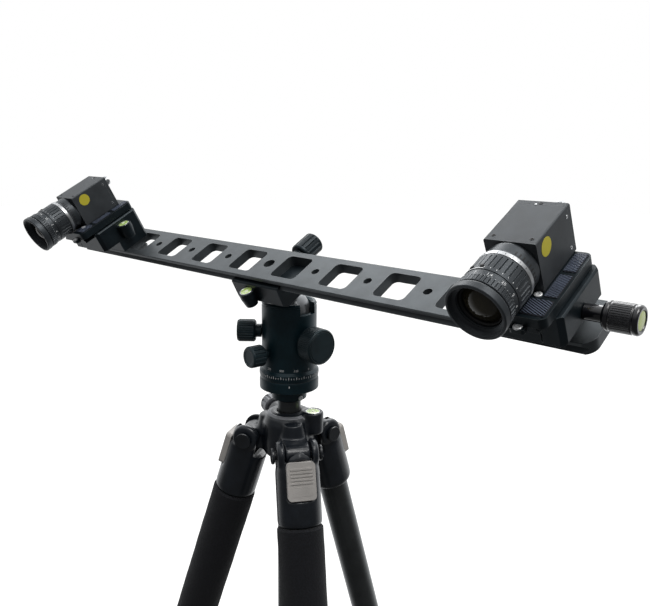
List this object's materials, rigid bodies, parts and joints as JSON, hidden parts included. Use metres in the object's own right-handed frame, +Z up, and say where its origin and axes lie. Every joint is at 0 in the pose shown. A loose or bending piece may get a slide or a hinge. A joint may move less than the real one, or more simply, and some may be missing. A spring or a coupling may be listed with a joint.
{
  "type": "stereo camera rig",
  "caption": "Stereo camera: two small square cameras with screw-mount lenses clamped on a slotted dovetail rail, on a ball head and a three-leg tripod.",
  "frame": {"origin": "floor point under the centre column's axis", "axes": "+Z up along the column, +X along the rail towards the right camera, the lenses look towards -Y and down"},
  "size_m": [0.5544, 0.3365, 0.7498],
  "materials": {
    "black_anodised": "satin black anodised",
    "black_paint": "satin black",
    "black_plastic": "moulded",
    "board": "solder mask",
    "foam": "matte foam",
    "glass": "coated",
    "gloss_knob": "gloss",
    "grey_cast": "textured",
    "grey_plastic": "moulded",
    "leg_tube": "satin titanium grey",
    "rail_anodised": "satin dark grey anodised",
    "rubber": "matte",
    "silver": "bright turned",
    "steel": "machined",
    "vial": "clear green"
  },
  "bodies": {
    "tripod": {"spider": "grey_cast", "tripod_level": "vial", "leg_hinge_bolts": "steel"},
    "column_lock": {"column_lock_knob": "grey_plastic"},
    "column": {"column_tube": "black_anodised", "column_top": "black_anodised", "head_base": "black_anodised"},
    "head": {"head_housing": "black_anodised"},
    "main_lock": {"main_knob": "black_anodised"},
    "drag": {"drag_knob": "black_anodised"},
    "pan_lock": {"pan_knob": "black_anodised"},
    "race": {"ball_race": "steel"},
    "ball": {"ball_stem": "black_anodised", "head_clamp": "black_anodised"},
    "head_jaw": {"head_clamp_jaw": "black_anodised"},
    "head_clamp_screw": {"head_clamp_knob": "black_anodised"},
    "beam": {"rail": "rail_anodised", "clamp_screws": "steel", "right_clamp": "black_anodised", "left_clamp": "black_anodised"},
    "front_leg": {"front_leg_top": "black_plastic", "front_leg_tube": "leg_tube", "front_leg_grip": "foam"},
    "front_leg_section": {"front_leg_lower": "leg_tube", "front_leg_foot": "rubber"},
    "front_leg_collar": {"front_leg_lock": "rubber"},
    "front_leg_stop": {"front_leg_tab": "grey_plastic"},
    "left_leg": {"left_leg_top": "black_plastic", "left_leg_tube": "leg_tube", "left_leg_grip": "foam"},
    "left_leg_section": {"left_leg_lower": "leg_tube", "left_leg_foot": "rubber"},
    "left_leg_collar": {"left_leg_lock": "rubber"},
    "left_leg_stop": {"left_leg_tab": "grey_plastic"},
    "rear_leg": {"rear_leg_top": "black_plastic", "rear_leg_tube": "leg_tube"},
    "rear_leg_section": {"rear_leg_lower": "leg_tube", "rear_leg_foot": "rubber"},
    "rear_leg_collar": {"rear_leg_lock": "rubber"},
    "rear_leg_stop": {"rear_leg_tab": "grey_plastic"},
    "right_jaw": {"right_clamp_jaw": "black_anodised"},
    "right_clamp_screw": {"right_clamp_knob": "gloss_knob"},
    "right_camera": {"right_plate": "black_anodised", "right_housing": "black_paint", "right_rear_panel": "silver", "right_sensor_board": "board", "right_lens_barrel": "black_anodised"},
    "right_aperture": {"right_aperture_ring": "black_anodised"},
    "right_front_group": {"right_glass": "glass"},
    "right_focus": {"right_focus_ring": "black_anodised"},
    "left_jaw": {"left_clamp_jaw": "black_anodised"},
    "left_clamp_screw": {"left_clamp_knob": "gloss_knob"},
    "left_camera": {"left_plate": "black_anodised", "left_housing": "black_paint", "left_rear_panel": "silver", "left_sensor_board": "board", "left_lens_barrel": "black_anodised"},
    "left_aperture": {"left_aperture_ring": "black_anodised"},
    "left_front_group": {"left_glass": "glass"},
    "left_focus": {"left_focus_ring": "black_anodised"}
  },
  "joints": [
    {"name": "column_lift", "type": "slide", "parent": "tripod", "child": "column", "axis": [0, 0, 1], "range_m": [-0.005, 0.16]},
    {"name": "column_lock_turn", "type": "hinge", "parent": "tripod", "child": "column_lock", "pos_m": [0, 0, 0.54823], "axis": [-0.9205, 0.3907, 0], "range_deg": [0, 180]},
    {"name": "front_leg_spread", "type": "hinge", "parent": "tripod", "child": "front_leg", "pos_m": [0.02819, -0.01901, 0.53323], "axis": [-0.5592, -0.829, 0], "range_deg": [-17.5, 62.5]},
    {"name": "front_leg_extend", "type": "slide", "parent": "front_leg", "child": "front_leg_section", "axis": [0.2493, -0.1682, -0.9537], "range_m": [0, 0.32]},
    {"name": "front_leg_lock_turn", "type": "hinge", "parent": "front_leg", "child": "front_leg_collar", "pos_m": [0.02819, -0.01901, 0.53323], "axis": [0.2493, -0.1682, -0.9537], "range_deg": [0, 90]},
    {"name": "front_leg_stop_pull", "type": "slide", "parent": "front_leg", "child": "front_leg_stop", "axis": [0.7907, -0.5333, 0.3007], "range_m": [0, 0.004]},
    {"name": "left_leg_spread", "type": "hinge", "parent": "tripod", "child": "left_leg", "pos_m": [-0.03056, -0.0149, 0.53323], "axis": [-0.4384, 0.8988, 0], "range_deg": [-17.5, 62.5]},
    {"name": "left_leg_extend", "type": "slide", "parent": "left_leg", "child": "left_leg_section", "axis": [-0.2703, -0.1318, -0.9537], "range_m": [0, 0.32]},
    {"name": "left_leg_lock_turn", "type": "hinge", "parent": "left_leg", "child": "left_leg_collar", "pos_m": [-0.03056, -0.0149, 0.53323], "axis": [-0.2703, -0.1318, -0.9537], "range_deg": [0, 90]},
    {"name": "left_leg_stop_pull", "type": "slide", "parent": "left_leg", "child": "left_leg_stop", "axis": [-0.8572, -0.4181, 0.3007], "range_m": [0, 0.004]},
    {"name": "rear_leg_spread", "type": "hinge", "parent": "tripod", "child": "rear_leg", "pos_m": [0.00237, 0.03392, 0.53323], "axis": [0.9976, -0.0698, 0], "range_deg": [-17.5, 62.5]},
    {"name": "rear_leg_extend", "type": "slide", "parent": "rear_leg", "child": "rear_leg_section", "axis": [0.021, 0.3, -0.9537], "range_m": [0, 0.32]},
    {"name": "rear_leg_lock_turn", "type": "hinge", "parent": "rear_leg", "child": "rear_leg_collar", "pos_m": [0.00237, 0.03392, 0.53323], "axis": [0.021, 0.3, -0.9537], "range_deg": [0, 90]},
    {"name": "rear_leg_stop_pull", "type": "slide", "parent": "rear_leg", "child": "rear_leg_stop", "axis": [0.0665, 0.9514, 0.3007], "range_m": [0, 0.004]},
    {"name": "pan", "type": "hinge", "parent": "column", "child": "head", "pos_m": [0, 0, 0.64523], "axis": [0, 0, 1], "continuous": true},
    {"name": "pitch", "type": "hinge", "parent": "head", "child": "race", "pos_m": [0, 0, 0.64523], "axis": [1, 0, 0], "range_deg": [-58.5, 8]},
    {"name": "roll", "type": "hinge", "parent": "race", "child": "ball", "pos_m": [0, 0, 0.64523], "axis": [0, 0.8788, 0.4772], "range_deg": [-20, 20]},
    {"name": "main_knob_turn", "type": "hinge", "parent": "head", "child": "main_lock", "pos_m": [0, 0, 0.62173], "axis": [0.9976, -0.0698, 0], "range_deg": [0, 270]},
    {"name": "drag_knob_turn", "type": "hinge", "parent": "head", "child": "drag", "pos_m": [0, 0, 0.62723], "axis": [-0.7314, -0.682, 0], "range_deg": [0, 270]},
    {"name": "pan_knob_turn", "type": "hinge", "parent": "head", "child": "pan_lock", "pos_m": [0, 0, 0.61123], "axis": [-0.1392, -0.9903, 0], "range_deg": [0, 270]},
    {"name": "head_jaw_slide", "type": "slide", "parent": "ball", "child": "head_jaw", "axis": [0, 0.8788, 0.4772], "range_m": [0, 0.00399]},
    {"name": "head_clamp_turn", "type": "hinge", "parent": "head_jaw", "child": "head_clamp_screw", "pos_m": [0, 0.01086, 0.68811], "axis": [0, 0.8788, 0.4772], "range_deg": [0, 1440]},
    {"name": "rail_slide", "type": "slide", "parent": "ball", "child": "beam", "axis": [1, 0, 0], "range_m": [-0.14, 0.14]},
    {"name": "right_jaw_slide", "type": "slide", "parent": "beam", "child": "right_jaw", "axis": [1, 0, 0], "range_m": [0, 0.00399]},
    {"name": "right_clamp_turn", "type": "hinge", "parent": "right_jaw", "child": "right_clamp_screw", "pos_m": [0.263, -0.04037, 0.69443], "axis": [1, 0, 0], "range_deg": [0, 1440]},
    {"name": "right_plate_slide", "type": "slide", "parent": "beam", "child": "right_camera", "axis": [0, 0.8788, 0.4772], "range_m": [-0.015, 0.015]},
    {"name": "right_aperture_turn", "type": "hinge", "parent": "right_camera", "child": "right_aperture", "pos_m": [0.233, -0.09438, 0.70379], "axis": [0, -0.8788, -0.4772], "range_deg": [-45, 45]},
    {"name": "right_focus_slide", "type": "slide", "parent": "right_camera", "child": "right_front_group", "axis": [0, -0.8788, -0.4772], "range_m": [0, 0.000798]},
    {"name": "right_focus_turn", "type": "hinge", "parent": "right_front_group", "child": "right_focus", "pos_m": [0.233, -0.09438, 0.70379], "axis": [0, -0.8788, -0.4772], "range_deg": [0, 120]},
    {"name": "left_jaw_slide", "type": "slide", "parent": "beam", "child": "left_jaw", "axis": [-1, 0, 0], "range_m": [0, 0.00399]},
    {"name": "left_clamp_turn", "type": "hinge", "parent": "left_jaw", "child": "left_clamp_screw", "pos_m": [-0.239, -0.04037, 0.69443], "axis": [-1, 0, 0], "range_deg": [0, 1440]},
    {"name": "left_plate_slide", "type": "slide", "parent": "beam", "child": "left_camera", "axis": [0, 0.8788, 0.4772], "range_m": [-0.015, 0.015]},
    {"name": "left_aperture_turn", "type": "hinge", "parent": "left_camera", "child": "left_aperture", "pos_m": [-0.209, -0.10141, 0.69997], "axis": [0, -0.8788, -0.4772], "range_deg": [-45, 45]},
    {"name": "left_focus_slide", "type": "slide", "parent": "left_camera", "child": "left_front_group", "axis": [0, -0.8788, -0.4772], "range_m": [0, 0.000798]},
    {"name": "left_focus_turn", "type": "hinge", "parent": "left_front_group", "child": "left_focus", "pos_m": [-0.209, -0.10141, 0.69997], "axis": [0, -0.8788, -0.4772], "range_deg": [0, 120]}
  ],
  "couplings": [
    {"joint": "head_clamp_turn", "follows": "head_jaw_slide", "rad_per_m": 6283.2},
    {"joint": "right_clamp_turn", "follows": "right_jaw_slide", "rad_per_m": 6283.2},
    {"joint": "right_focus_turn", "follows": "right_focus_slide", "rad_per_m": 2618},
    {"joint": "left_clamp_turn", "follows": "left_jaw_slide", "rad_per_m": 6283.2},
    {"joint": "left_focus_turn", "follows": "left_focus_slide", "rad_per_m": 2618}
  ]
}
